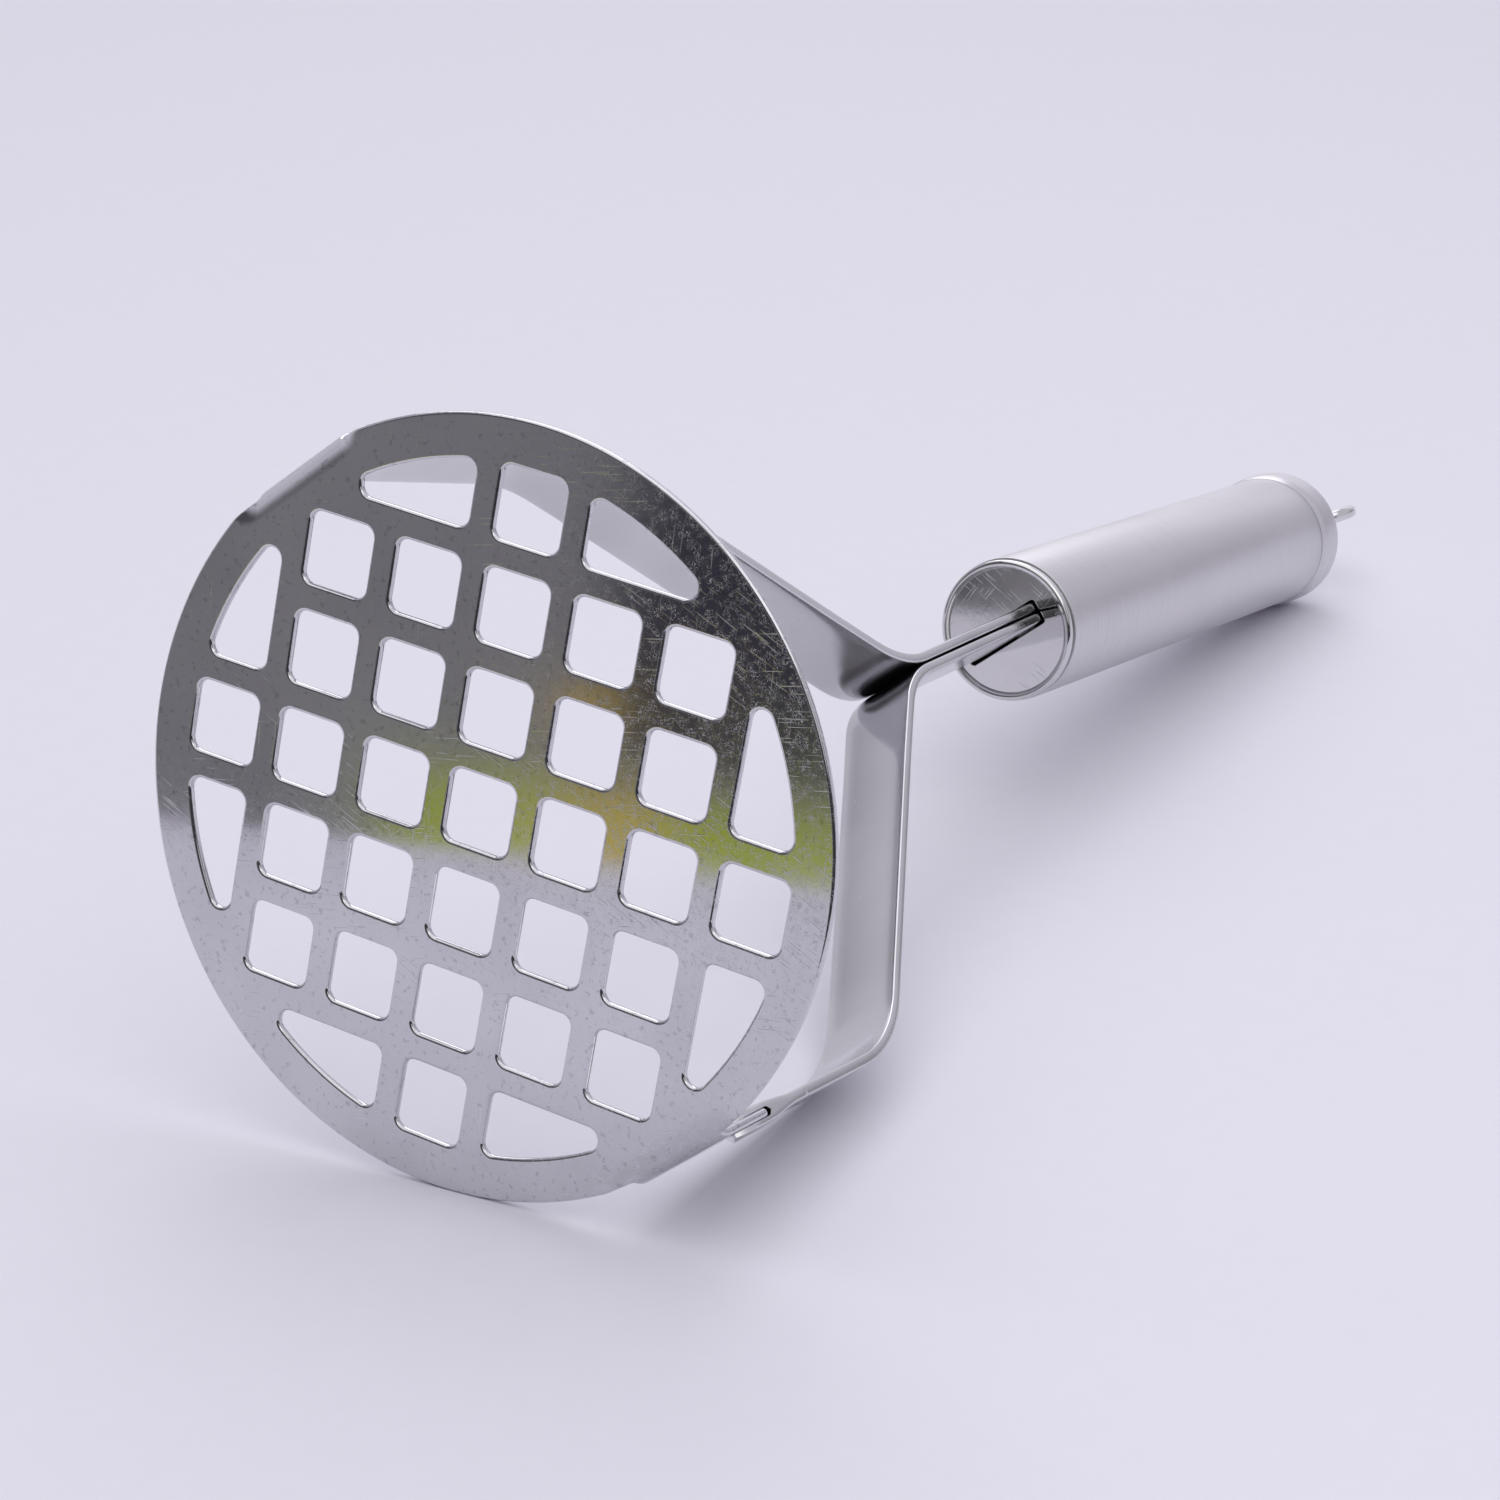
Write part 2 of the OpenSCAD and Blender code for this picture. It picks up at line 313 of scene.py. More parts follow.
def fold_tabs(mesh):
    """Bends both tabs up through a right angle; the rim beside each tab is drawn up a little with it."""
    bend = bmesh.new()
    bend.from_mesh(mesh)
    arc_steps, fade_steps = 12, 8
    for side in (-1, 1):
        for k in range(arc_steps + 1):
            bisect(bend, bend.faces[:], (side * (FOLD_X + FOLD_ARC * k / arc_steps), 0, 0), (1, 0, 0))
        for edge in (-1, 1):
            for k in range(fade_steps + 1):
                near = [f for f in bend.faces if side * f.calc_center_median().x > FOLD_X]
                bisect(bend, near, (0, edge * (TAB_W / 2 + FOLD_FADE * k / fade_steps), 0), (0, 1, 0))
    centre_z = SHEET + FOLD_INNER_R
    for v in bend.verts:
        x = abs(v.co.x) - FOLD_X
        share = fold_share(v.co.y)
        if x <= 0 or share == 0:
            continue
        turn = min(x / FOLD_ARC, 1) * math.pi / 2
        r = centre_z - v.co.z
        bent = Vector((FOLD_X + r * math.sin(turn), centre_z - r * math.cos(turn) + max(0, x - FOLD_ARC)))
        bent = Vector((abs(v.co.x), v.co.z)).lerp(bent, share)
        v.co.x, v.co.z = math.copysign(bent.x, v.co.x), bent.y
    bend.to_mesh(mesh)
    bend.free()


def bisect(mesh, faces, point, normal):
    """Cuts faces along a plane."""
    edges = {e for f in faces for e in f.edges}
    verts = {v for f in faces for v in f.verts}
    bmesh.ops.bisect_plane(mesh, geom=[*verts, *edges, *faces], dist=1e-4, plane_co=point, plane_no=normal)


def plate_mesh():
    """The sheet with its grid of holes at 45 degrees to the arms, and its tabs folded."""
    loops = [plate_outline()]
    for i in range(-3, 4):
        for j in range(-3, 4):
            if math.hypot(i, j) <= 3:
                loops.append(turned(square_hole(i, j), -45))
    wedge = wedge_hole()
    for quarter in range(4):
        for flip in (1, -1):
            loops.append(turned([(flip * x, y) for x, y in wedge], quarter * 90 - 45))
    mesh = cut_sheet("masher_plate_blank", loops, SHEET, PLATE_EDGE)
    fold_tabs(mesh)
    return mesh


# Arms --------------------------------------------------------------------------------------------


def smooth_fall(z, start, end):
    """Falls smoothly from 1 at start to 0 at end."""
    t = min(max((z - start) / (end - start), 0), 1)
    return (1 + math.cos(math.pi * t)) / 2


def bend_points(a, b, c, r, steps):
    """Points and unit directions along the rounded corner b of the path a-b-c."""
    ahead, on = (b - a).normalized(), (c - b).normalized()
    turn = math.atan2(ahead.x * on.y - ahead.y * on.x, ahead.dot(on))
    side = math.copysign(1, turn)
    start = b - ahead * r * math.tan(abs(turn) / 2)
    centre = start + Vector((-ahead.y, ahead.x)) * r * side
    result = []
    for k in range(steps + 1):
        way = Matrix.Rotation(turn * k / steps, 2) @ ahead
        result.append((centre - Vector((-way.y, way.x)) * r * side, way))
    return result


def stretch(a, b, steps):
    """Points between two stations of a path, without the first and the last."""
    return [(a[0].lerp(b[0], k / steps), b[1]) for k in range(1, steps)]


def arm_stations(side, shoulder_z, shoulder_r, lean):
    """Centre line of an arm above its foot, in the XZ plane, as (point, direction)."""
    seam = NECK_X / (HANDLE_Z - NECK_Z)
    clearance = 0.01
    half = ARM_T / 2 + clearance
    foot = Vector((side * TAB_X, MERGE_Z))
    shoulder = Vector((side * (TAB_X - lean), shoulder_z))
    neck = Vector((NECK_X + side * half, NECK_Z))
    tail = Vector((seam * (HANDLE_Z - TAIL_Z) + side * half, TAIL_Z))
    first = bend_points(foot, shoulder, neck, shoulder_r, 20)
    second = bend_points(shoulder, neck, tail, NECK_R, 24)
    start, end = (foot, first[0][1]), (tail, second[-1][1])
    riser = stretch(start, first[0], 8)
    slope = stretch(first[-1], second[0], 16)
    tails = stretch(second[-1], end, 12)
    return [start] + riser + first + slope + second + tails + [end]


def half_ring(width, dish, count=28):
    """One face of a flattened tube from edge to edge, as (across, out): round edges and a shallow crease."""
    points = []
    for k in range(count + 1):
        t = math.pi * k / count
        across = -math.copysign(abs(math.cos(t)) ** RING_POWER, math.cos(t)) * width / 2
        out = math.sin(t) ** RING_POWER * ARM_T / 2
        reach = 1 - min(1, abs(across) / (width / 2 - DISH_EDGE))
        points.append((across, out - dish * (math.hypot(reach, DISH_ROUND) - DISH_ROUND) ** 0.9))
    return points


def arm_width(z):
    """Width of the strip at a height: widest at the foot, narrowest along the slope."""
    if z < MERGE_Z:
        return FOOT_W
    if z < TAPER_Z:
        return FOOT_W + (ARM_W - FOOT_W) * (z - MERGE_Z) / (TAPER_Z - MERGE_Z)
    return ARM_W + (NECK_W - ARM_W) * (1 - smooth_fall(z, NECK_Z - 12, NECK_Z + 4))


def crease_depth(z):
    """Depth of the crease along both faces: it starts above the foot and runs out through the neck."""
    return DISH * (1 - smooth_fall(z, SPLIT_Z, SPLIT_Z + 14)) * smooth_fall(z, NECK_Z - 4, NECK_Z + 8)


def leaf_gap(z):
    """Half the gap between the two leaves of a foot: the tab's half thickness, closing just above it."""
    return (SHEET / 2 + SHEET_GAP) * smooth_fall(z, TAB_TOP, TAB_TOP + 0.8)


def leaf_swell(z):
    """How far a leaf stands off the middle of the arm: the swelling round the tab runs out above it."""
    return (SHEET / 2 + SHEET_GAP) * smooth_fall(z, TAB_TOP - 0.5, MERGE_Z)


def leaf_thinning(z):
    """Share of a leaf's half thickness that is left where its end is pressed thin."""
    return 1 - PRESSED_T / (ARM_T / 2) * smooth_fall(z, LEAF_Z, LEAF_Z + PRESSED_LEN)


def leaf_end(across, outer):
    """Height of a leaf's lower edge: the inner leaf ends in a round tongue, the outer one in a slant."""
    share = min(abs(across) / (FOOT_W / 2), 1)
    tongue = LEAF_Z + TONGUE * (1 - math.sqrt(1 - share ** 2))
    slant = LEAF_Z + (CUT_Z - LEAF_Z) * (across / FOOT_W + 0.5)
    return max(tongue, slant) if outer else tongue


def arm_mesh(side, shoulder_z, shoulder_r, lean):
    """A flattened tube along the arm's path; below the split each half goes on as a leaf of its own."""
    verts, faces = [], []

    def place(point, way, across, out):
        """A vertex at a distance across the strip and out of its middle, away from the handle's axis."""
        normal = Vector((way.y, -way.x)) * side
        verts.append((point.x + normal.x * out, across, point.y + normal.y * out))
        return len(verts) - 1

    def strip(a, b):
        """Faces between two rows of vertices."""
        faces.extend((a[k], a[k + 1], b[k + 1], b[k]) for k in range(len(a) - 1))

    def loft(loops):
        for a, b in zip(loops, loops[1:]):
            strip(a, b)

    stations = [s for s in arm_stations(side, shoulder_z, shoulder_r, lean) if s[0].y > SPLIT_Z]
    shells = {1: [], -1: []}
    for point, way in stations:
        ring = half_ring(arm_width(point.y), crease_depth(point.y))
        outer = [place(point, way, across, out) for across, out in ring]
        inner = [place(point, way, across, -out) for across, out in ring]
        inner[0], inner[-1] = outer[0], outer[-1]
        shells[1].append(outer)
        shells[-1].append(inner)
    for loops in shells.values():
        loft(loops)
    faces.append(tuple(shells[1][-1] + shells[-1][-1][-2:0:-1]))

    up = Vector((0, 1))
    slope = lean / (shoulder_z - MERGE_Z)
    first = stations[0][0].y
    ring_w = arm_width(first)
    ring = half_ring(ring_w, 0)
    steps, widen_steps = 60, 14
    crotch = [place(*stations[0], across, 0) for across, _ in ring]
    for sign in shells:
        shell_loops, lining_loops = [shells[sign][0]], [crotch]
        for k in range(1, steps + 1):
            shell, lining = [], []
            for across, out in ring:
                across *= 1 + (FOOT_W / ring_w - 1) * min(1, k / widen_steps)
                low = leaf_end(across, sign > 0)
                z = low + (first - low) * (1 - k / steps)
                point = Vector((side * (TAB_X - slope * max(0, z - MERGE_Z)), z))
                shell.append(place(point, up, across, sign * (out * leaf_thinning(z) + leaf_swell(z))))
                lining.append(place(point, up, across, sign * leaf_gap(z)))
            shell_loops.append(shell)
            lining_loops.append(lining)
        loft(shell_loops)
        loft(lining_loops)
        strip(shell_loops[-1], lining_loops[-1])
        for edge in (0, -1):
            strip([loop[edge] for loop in shell_loops], [loop[edge] for loop in lining_loops])
    return mesh_from("arm", verts, faces)


# Handle ------------------------------------------------------------------------------------------


def front_cap_mesh():
    """A turned bead, side and skirt, and a face sheet with the slot cut in it."""
    bead_x, face_r = CAP_R - CAP_BEAD_R, CAP_R - 2 * CAP_BEAD_R - 0.05
    lap_r, skirt_in, back_z = face_r - 0.3, SKIRT_R - CAP_SHEET, CAP_FACE_Z + CAP_SHEET
    side = [(face_r, CAP_FACE_Z + 0.1)] + arc(bead_x, HANDLE_Z + CAP_BEAD_R, CAP_BEAD_R, 180, 360, 20)
    side += [(CAP_R, TUBE_LOW.z - CAP_EDGE), (CAP_R - CAP_EDGE, TUBE_LOW.z), (SKIRT_R, TUBE_LOW.z)]
    side += [(SKIRT_R, CAP_HIGH.z), (skirt_in, CAP_HIGH.z), (skirt_in, back_z)]
    side += [(lap_r, back_z), (lap_r, CAP_FACE_Z + 0.03)]
    disc = arc(0, 0, face_r, 0, 360, 120)[:-1]
    slot = rounded_outline(rectangle(0, SLOT_SHIFT, SLOT_W / 2, SLOT_LEN / 2), SLOT_CORNER, 5)
    face = cut_sheet("cap_face", [disc, slot], CAP_SHEET, CAP_EDGE)
    for v in face.vertices:
        v.co.z += CAP_FACE_Z
    return join("front_cap", lathe("cap_side", side), face)


def tube_mesh():
    low, high, r, inner = TUBE_LOW.z, TUBE_HIGH.z, TUBE_R, TUBE_R - TUBE_WALL
    edge = 0.12
    profile = arc(r - edge, low + edge, edge, -90, 0, 4) + arc(r - edge, high - edge, edge, 0, 90, 4)
    return lathe("handle_tube", profile + [(inner, high), (inner, low)])


def rear_cap_mesh():
    """A pressed cap with a rounded edge, a front edge that flares softly from the tube, and a skirt."""
    r, top, low = REAR_R, REAR_TOP_Z, REAR_FRONT_Z
    bore = SHANK_R + 0.05
    profile = [(bore, top)] + list(reversed(arc(r - REAR_EDGE_R, top - REAR_EDGE_R, REAR_EDGE_R, 0, 90, 16)))
    profile += [(r, low + 1.6), (r - 0.04, low + 1.1), (r - 0.16, low + 0.6), (TUBE_R + 0.03, low)]
    skirt = TUBE_R - TUBE_WALL - 0.02
    profile += [(skirt, low), (skirt, REAR_LOW.z), (skirt - CAP_SHEET, REAR_LOW.z)]
    profile += arc(r - REAR_EDGE_R, top - REAR_EDGE_R, REAR_EDGE_R - CAP_SHEET, 0, 90, 10)
    return lathe("rear_cap", profile + [(bore, top - CAP_SHEET)])


def eye_mesh():
    """A wire loop in the YZ plane and a turned shank with a collar and a flare where it meets the loop."""
    wire = [(EYE_R + x, y) for x, y in arc(0, 0, WIRE_R, 0, 360, 24)[:-1]]
    loop = lathe("eye_loop", wire, 96)
    loop.transform(Matrix.Translation((0, 0, EYE_Z)) @ Matrix.Rotation(math.radians(90), 4, "Y"))
    loop.transform(Matrix.Rotation(math.radians(EYE_TURN), 4, "Z"))
    axis_r, low, foot, collar = 0.01, EYE_LOW.z, EYE_Z - EYE_R, REAR_TOP_Z + 0.15
    rim = COLLAR_R - COLLAR_EDGE_R
    neck = low + SHANK_HEAD_T
    shank = [(axis_r, low), (SHANK_HEAD_R, low), (SHANK_HEAD_R, neck), (SHANK_R, neck)]
    shank += [(SHANK_R, collar)] + arc(rim, collar + COLLAR_EDGE_R, COLLAR_EDGE_R, -90, 0, 4)
    shank += arc(rim, collar + 0.5, COLLAR_EDGE_R, 0, 90, 4)
    shank += [(SHANK_R + 0.25, collar + 0.9), (SHANK_R, collar + 1.3), (SHANK_R - 0.1, foot - 2.0)]
    shank += [(SHANK_R - 0.25, foot - 1.1), (SHANK_R - 0.45, foot - 0.4), (axis_r, foot)]
    return join("hanging_eye", loop, lathe("eye_shank", shank, 48))


# Materials ---------------------------------------------------------------------------------------


def opaque(color):
    """A colour for a socket: three numbers get a fourth, and another node's output stays as it is."""
    return color if isinstance(color, bpy.types.NodeSocket) else (*color, 1)


class Nodes:
    """A small builder for the shader nodes of one tree."""

    def __init__(self, tree, coordinates):
        self.tree = tree
        self.tree.nodes.clear()
        self.place = self.tree.nodes.new("ShaderNodeTexCoord").outputs[coordinates]

    def feed(self, socket, value):
        """Links another node's output to a socket, or sets the socket to a constant."""
        if isinstance(value, bpy.types.NodeSocket):
            self.tree.links.new(value, socket)
        else:
            socket.default_value = value

    def node(self, kind, inputs=(), **settings):
        made = self.tree.nodes.new(kind)
        for key, value in settings.items():
            setattr(made, key, value)
        for key, value in dict(inputs).items():
            self.feed(made.inputs[key], value)
        return made

    def mapped(self, scale, turn=(0, 0, 0)):
        """The object's coordinates, turned and then scaled per axis, in repeats per metre."""
        angles = [math.radians(a) for a in turn]
        spun = self.node("ShaderNodeVectorRotate", {"Vector": self.place, "Rotation": angles},
                         rotation_type="EULER_XYZ").outputs[0]
        return self.node("ShaderNodeVectorMath", {0: spun, 1: scale}, operation="MULTIPLY").outputs[0]

    def noise(self, vector, detail=2.0, warp=0.0):
        inputs = {"Vector": vector, "Scale": 1.0, "Detail": detail, "Roughness": 0.5, "Distortion": warp}
        return self.node("ShaderNodeTexNoise", inputs).outputs["Fac"]

    def even_noise(self, repeats, detail=2.0, warp=0.0):
        """Noise that is equally fine in every direction, in repeats per metre."""
        return self.noise(self.mapped((repeats, repeats, repeats)), detail, warp)

    def ramp(self, value, low, high, out_low=0.0, out_high=1.0):
        inputs = {"Value": value, "From Min": low, "From Max": high, "To Min": out_low, "To Max": out_high}
        return self.node("ShaderNodeMapRange", inputs, interpolation_type="SMOOTHSTEP").outputs[0]

    def window(self, value, a, b, c, d):
        """1 between b and c, fading to 0 at a and d."""
        return self.times(self.ramp(value, a, b), self.ramp(value, c, d, 1.0, 0.0))

    def math(self, operation, a, b=0.0):
        return self.node("ShaderNodeMath", {0: a, 1: b}, operation=operation).outputs[0]

    def times(self, a, b):
        return self.math("MULTIPLY", a, b)

    def total(self, first, *others):
        for value in others:
            first = self.math("ADD", first, value)
        return first

    def dot(self, axis):
        """The coordinates' distance along an axis."""
        inputs = {0: self.place, 1: tuple(axis)}
        return self.node("ShaderNodeVectorMath", inputs, operation="DOT_PRODUCT").outputs["Value"]

    def mix(self, share, a, b):
        """A colour between a and b."""
        first, second, result = 6, 7, 2
        made = self.node("ShaderNodeMix", {"Factor": share}, data_type="RGBA")
        self.feed(made.inputs[first], opaque(a))
        self.feed(made.inputs[second], opaque(b))
        return made.outputs[result]


class Surface(Nodes):
    """A material with one principled shader."""

    def __init__(self, name):
        self.material = bpy.data.materials.new(name)
        self.material.use_nodes = True
        super().__init__(self.material.node_tree, "Object")
        self.out = self.node("ShaderNodeOutputMaterial")
        self.bsdf = self.node("ShaderNodeBsdfPrincipled")
        self.feed(self.out.inputs["Surface"], self.bsdf.outputs["BSDF"])

    def scratches(self, turn, length, gap, share=0.0):
        """Fine short lines along one direction: stretched noise, kept where it peaks and in patches."""
        lines = self.noise(self.mapped((1 / length, 1 / gap, 1 / gap), turn), detail=0)
        patch = self.noise(self.mapped((0.35 / length,) * 3, turn), detail=1)
        return self.times(self.ramp(lines, 0.72 - share, 0.78 - share), self.ramp(patch, 0.5, 0.62))

    def finish(self, color, roughness, height=None, strength=0.0, distance=0.0, metallic=1.0):
        """Sets the shader, with bumps of a height, and gives the material."""
        self.feed(self.bsdf.inputs["Base Color"], opaque(color))
        self.feed(self.bsdf.inputs["Roughness"], roughness)
        self.feed(self.bsdf.inputs["Metallic"], metallic)
        if height is not None:
            bump = self.node("ShaderNodeBump", {"Height": height, "Strength": strength, "Distance": distance})
            self.feed(self.bsdf.inputs["Normal"], bump.outputs[0])
        return self.material


def plate_steel():
    """Worn sheet: short scratches every way, dark pits, and fine dull squiggles that crowd at one side."""
    s = Surface("worn_plate_steel")
    short = ((8, 0.0005, 0.02), (39, 0.0004, 0.035), (72, 0.0005, 0.03), (104, 0.0004, 0.035),
             (128, 0.0006, 0.02), (160, 0.0005, 0.03))
    marks = s.total(*[s.scratches((0, 0, turn), length, 0.00012, share) for turn, length, share in short])
    long_marks = s.total(*[s.scratches((0, 0, turn), 0.005, 0.0002) for turn in (25, 60, 140)])
    side = s.ramp(s.dot((0.7, -0.7, 0)), -0.02, 0.03, 0.15, 1.0)
    thread = s.math("ABSOLUTE", s.math("SUBTRACT", s.even_noise(2900, detail=1, warp=1.0), 0.52))
    thread = s.ramp(thread, 0.0, 0.035, 1.0, 0.0)
    squiggles = s.times(s.times(thread, s.ramp(s.even_noise(900, detail=1), 0.4, 0.6)), side)
    skin = s.times(s.even_noise(1900, detail=1, warp=0.6), side)
    wave = s.even_noise(160, detail=1)
    cloud = s.even_noise(60)
    pits = s.ramp(s.even_noise(1300), 0.6, 0.68)
    height = s.total(s.times(squiggles, 0.012), s.times(skin, 0.01), s.times(marks, 0.012),
                     s.times(wave, 0.05), s.times(long_marks, 0.12))
    tone = s.mix(s.ramp(cloud, 0.3, 0.7), (0.58, 0.573, 0.6), (0.64, 0.633, 0.66))
    tone = s.mix(s.times(pits, 0.35), tone, (0.25, 0.25, 0.27))
    tone = s.mix(s.times(squiggles, 0.6), tone, (0.86, 0.83, 0.92))
    color = s.mix(s.times(long_marks, 0.3), tone, (0.85, 0.85, 0.85))
    rough = s.total(s.ramp(cloud, 0.25, 0.75, 0.05, 0.08), s.times(marks, 0.05), s.times(squiggles, 0.45),
                    s.times(long_marks, 0.12))
    return s.finish(color, s.math("MINIMUM", rough, 0.5), height, 0.5, 0.00004)


def arm_steel():
    """Bright rolled strip with a faint grain and a few long scratches."""
    s = Surface("bright_arm_steel")
    grain = s.noise(s.mapped((900, 3000, 900)))
    marks = s.total(s.scratches((0, 40, 0), 0.006, 0.0002), s.scratches((0, 120, 30), 0.004, 0.0002))
    cloud = s.even_noise(60)
    tone = s.mix(s.ramp(cloud, 0.3, 0.7), (0.6, 0.595, 0.61), (0.68, 0.675, 0.69))
    color = s.mix(s.times(marks, 0.2), tone, (0.8, 0.8, 0.8))
    rough = s.total(s.ramp(cloud, 0.25, 0.75, 0.12, 0.2), s.times(marks, 0.1))
    return s.finish(color, rough, s.total(s.times(grain, 0.06), s.times(marks, 0.4)), 0.05, 0.00004)


def tube_steel():
    """Satin tube: fine rings of brushing round the axis."""
    s = Surface("satin_tube_steel")
    brush = s.noise(s.mapped((120, 120, 9000)), detail=3)
    cloud = s.noise(s.mapped((70, 70, 40)))
    tone = s.mix(s.ramp(brush, 0.35, 0.65), (0.62, 0.61, 0.63), (0.68, 0.67, 0.69))
    rough = s.total(s.ramp(cloud, 0.25, 0.75, 0.3, 0.38), s.times(brush, 0.08))
    return s.finish(tone, rough, brush, 0.12, 0.00003)


def cap_steel():
    """Polished cap and wire with a few fine scratches."""
    s = Surface("polished_cap_steel")
    grain = s.even_noise(1500)
    marks = s.total(s.scratches((0, 0, 20), 0.003, 0.00016), s.scratches((0, 0, 110), 0.003, 0.00016))
    cloud = s.even_noise(150)
    tone = s.mix(s.ramp(cloud, 0.3, 0.7), (0.64, 0.635, 0.64), (0.7, 0.695, 0.7))
    rough = s.total(s.ramp(cloud, 0.25, 0.75, 0.05, 0.09), s.times(marks, 0.12))
    return s.finish(tone, rough, s.total(s.times(grain, 0.2), s.times(marks, 0.4)), 0.12, 0.00004)


def inner_steel():
    """Plain steel of the pieces inside the handle."""
    s = Surface("plain_inner_steel")
    grain = s.even_noise(1200, detail=3)
    tone = s.mix(s.ramp(grain, 0.3, 0.7), (0.42, 0.42, 0.43), (0.52, 0.52, 0.53))
    return s.finish(tone, s.ramp(grain, 0.3, 0.7, 0.3, 0.42), grain, 0.2, 0.00004)


def build_masher():
    plate, arm, tube, cap, inner = plate_steel(), arm_steel(), tube_steel(), cap_steel(), inner_steel()
    piece("plate_sheet", plate_mesh(), plate, "masher", "masher_plate", 50, True)
    for node, facts in ARMS.items():
        piece(node + "_tube", arm_mesh(**facts), arm, "masher", node, 55)
    piece("front_cap_shell", front_cap_mesh(), cap, "masher", "front_cap", 50, True)
    piece("handle_tube_shell", tube_mesh(), tube, "masher", "handle_tube", 50)
    piece("rear_cap_shell", rear_cap_mesh(), tube, "masher", "rear_cap", 50)
    piece("hanging_eye_wire", eye_mesh(), cap, "eye", "hanging_eye", 50)
    for node in ("tail_rivet", "eye_washer"):
        slots = frame["nodes"][node].data.materials
        slots.clear()
        slots.append(inner)


# Studio ------------------------------------------------------------------------------------------

# The masher lies on its plate's rim and its rear cap; the contact is at this angle round the handle axis.
CONTACT_TURN = math.radians(37.9)
CONTACT_Z = REAR_TOP_Z - REAR_EDGE_R
CAMERA_PLACE = Vector((47.9, -235.3, -346.4))
CAMERA_WAY = Vector((-0.0949, 0.5026, 0.8593)).normalized()
LENS = 95.84


def floor_frame():
    """A floor point in metres, the way up, and the ways to the picture's right and away from the camera."""
    tilt = math.atan((PLATE_R - REAR_R) / CONTACT_Z)
    out = Vector((math.cos(CONTACT_TURN), math.sin(CONTACT_TURN), 0))
    up = -(out * math.cos(tilt) + Vector((0, 0, 1)) * math.sin(tilt))
    right = CAMERA_WAY.cross(up).normalized()
    return out * PLATE_R * MM, up, right, up.cross(right)


FLOOR, UP, RIGHT, AWAY = floor_frame()


def camera():
    data = bpy.data.cameras.new("camera")
    data.lens = LENS
    data.sensor_width = 36
    data.clip_start, data.clip_end = 0.01, 20
    obj = bpy.data.objects.new("camera", data)
    bpy.context.scene.collection.objects.link(obj)
    turn = Matrix((RIGHT, RIGHT.cross(CAMERA_WAY), -CAMERA_WAY)).transposed().to_4x4()
    obj.matrix_world = Matrix.Translation(CAMERA_PLACE * MM) @ turn
    bpy.context.scene.camera = obj


def floor():
    """A pale sheet under the masher. Its back isn't drawn, so that views from below still show the object."""
    corners = [(-0.2, -0.19), (-0.1, -0.19), (0.0, -0.12), (0.9, -0.12), (0.9, 2.4), (-1.11, 2.4)]
    verts = [FLOOR + RIGHT * a + AWAY * b for a, b in corners]
    mesh = mesh_from("floor", verts, [tuple(range(len(verts)))])
    obj = bpy.data.objects.new("floor", mesh)
    bpy.context.scene.collection.objects.link(obj)
    s = Surface("pale_floor")
    tone = s.mix(s.ramp(s.even_noise(260, detail=3), 0.3, 0.7), (0.8, 0.785, 0.862), (0.806, 0.791, 0.868))
    s.finish(tone, 0.75, metallic=0.0)
    s.bsdf.inputs["Specular IOR Level"].default_value = 0.2
    back = s.node("ShaderNodeNewGeometry").outputs["Backfacing"]
    clear = s.node("ShaderNodeBsdfTransparent").outputs[0]
    both = s.node("ShaderNodeMixShader", {0: back, 1: s.bsdf.outputs[0], 2: clear})
    s.feed(s.out.inputs["Surface"], both.outputs[0])
    mesh.materials.append(s.material)


def lights():
    """Three large soft lights: above, behind the camera, and over the back of the floor."""
    centre = FLOOR + UP * 0.04 + AWAY * 0.08
    for name, place, size, power in (
            ("key", UP * 1.0 + RIGHT * 0.1 - AWAY * 0.25, 2.0, 8.0),
            ("fill", UP * 0.75 + RIGHT * 0.5 - AWAY * 1.0, 1.2, 2.0),
            ("back", UP * 1.2 - RIGHT * 0.1 + AWAY * 1.4, 1.4, 6.5)):
        data = bpy.data.lights.new(name, "AREA")
        data.shape = "DISK"
        data.size = size
        data.energy = power
        obj = bpy.data.objects.new(name, data)
        bpy.context.scene.collection.objects.link(obj)
        aim = (-place).to_track_quat("-Z", "Y").to_matrix().to_4x4()
        obj.matrix_world = Matrix.Translation(centre + place) @ aim


def far_walls(s, rise, around):
    """Colours of the room beyond the object: pale, with a duller stripe at the left, a shade and a panel."""
    room = s.mix(s.ramp(rise, 25, 60), (0.64, 0.625, 0.7), (0.62, 0.605, 0.68))
    stripe = s.mix(s.ramp(rise, 16, 25), (0.66, 0.645, 0.72), (0.42, 0.41, 0.46))
    room = s.mix(s.window(around, -66, -56, -40, -30), room, stripe)
    shade = s.mix(s.ramp(rise, 1, 20), (0.36, 0.35, 0.39), (0.64, 0.625, 0.7))
    room = s.mix(s.window(around, 38, 46, 62, 80), room, shade)
    panel = s.times(s.window(around, -4, 6, 27, 36), s.window(rise, 2, 7, 24, 34))
    return s.mix(panel, room, (0.98, 0.955, 1.06))


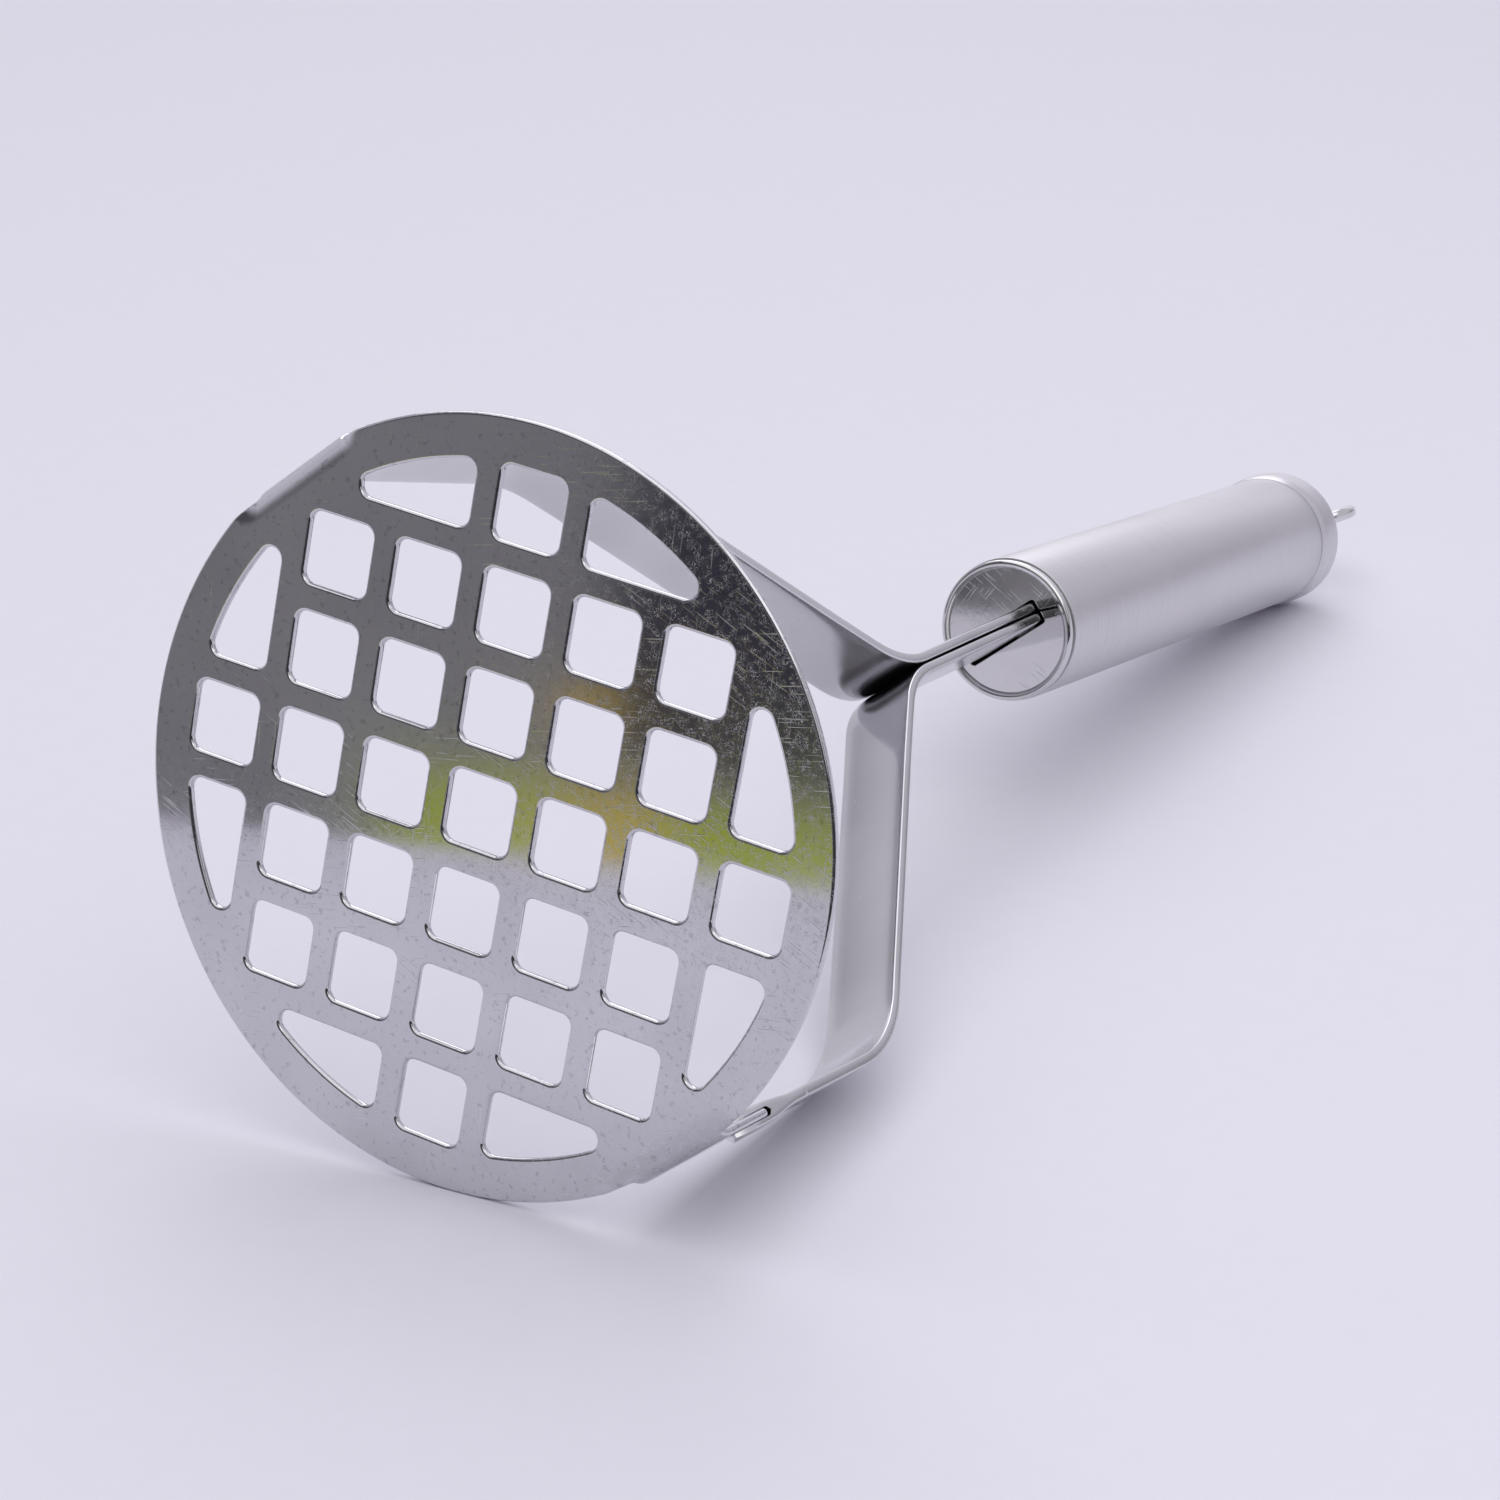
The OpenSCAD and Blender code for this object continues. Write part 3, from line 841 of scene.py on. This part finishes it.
def near_walls(s, rise, around, walls):
    """Colours on the camera's side: a grey corner, black behind the camera, and a dark door at the left."""
    corner = s.mix(s.ramp(rise, 3, 20), (0.235, 0.23, 0.25), (0.1, 0.098, 0.11))
    corner = s.mix(s.ramp(rise, 50, 85), corner, (0.45, 0.44, 0.49))
    near = s.math("MAXIMUM", s.ramp(around, -102, -60, 1.0, 0.0), s.ramp(around, 105, 130))
    walls = s.mix(near, walls, corner)
    deep = s.math("MAXIMUM", s.ramp(around, -155, -135, 1.0, 0.0), s.ramp(around, 115, 135))
    walls = s.mix(s.times(deep, s.ramp(rise, 40, 70, 1.0, 0.0)), walls, (0.05, 0.05, 0.055))
    door = s.times(s.window(around, -127.5, -125.6, -122, -120.8), s.window(rise, -7.2, -6.3, -2, 1))
    return s.mix(door, walls, (0.046, 0.043, 0.06))


def green_band(s, rise, around, walls):
    """The band of green with yellow in it, low at the left, that the plate reflects."""
    yellow = (0.62, 0.47, 0.1)
    paint = s.mix(s.window(around, -122.9, -122.2, -121.3, -120.8), (0.4, 0.47, 0.05), yellow)
    band = s.times(s.window(around, -130, -127, -119.2, -118), s.ramp(rise, -7.4, -7.0, 1.0, 0.0))
    streak = s.times(s.window(around, -122.0, -121.6, -121, -120.6), s.window(rise, -6.5, -6.2, -5.9, -5.6))
    return s.mix(s.times(streak, 0.7), s.mix(band, walls, paint), (0.7, 0.5, 0.08))


def world():
    """The studio round the object, by angles in degrees: the rise above the floor, and the turn around the
    object from away towards the right. The steel reflects it, and the camera sees one pale tone."""
    made = bpy.data.worlds.new("studio")
    bpy.context.scene.world = made
    made.use_nodes = True
    s = Nodes(made.node_tree, "Generated")
    to_degrees = 180 / math.pi
    rise = s.times(s.math("ARCSINE", s.dot(UP)), to_degrees)
    around = s.times(s.math("ARCTAN2", s.dot(RIGHT), s.dot(AWAY)), to_degrees)
    walls = near_walls(s, rise, around, far_walls(s, rise, around))
    walls = green_band(s, rise, around, walls)
    seen = s.node("ShaderNodeLightPath").outputs["Is Camera Ray"]
    color = s.mix(seen, walls, (0.715, 0.695, 0.785))
    background = s.node("ShaderNodeBackground", {"Color": color, "Strength": 1.0})
    s.node("ShaderNodeOutputWorld", {"Surface": background.outputs[0]})


camera()
build_masher()
floor()
lights()
world()
bpy.context.scene.view_settings.view_transform = "Standard"
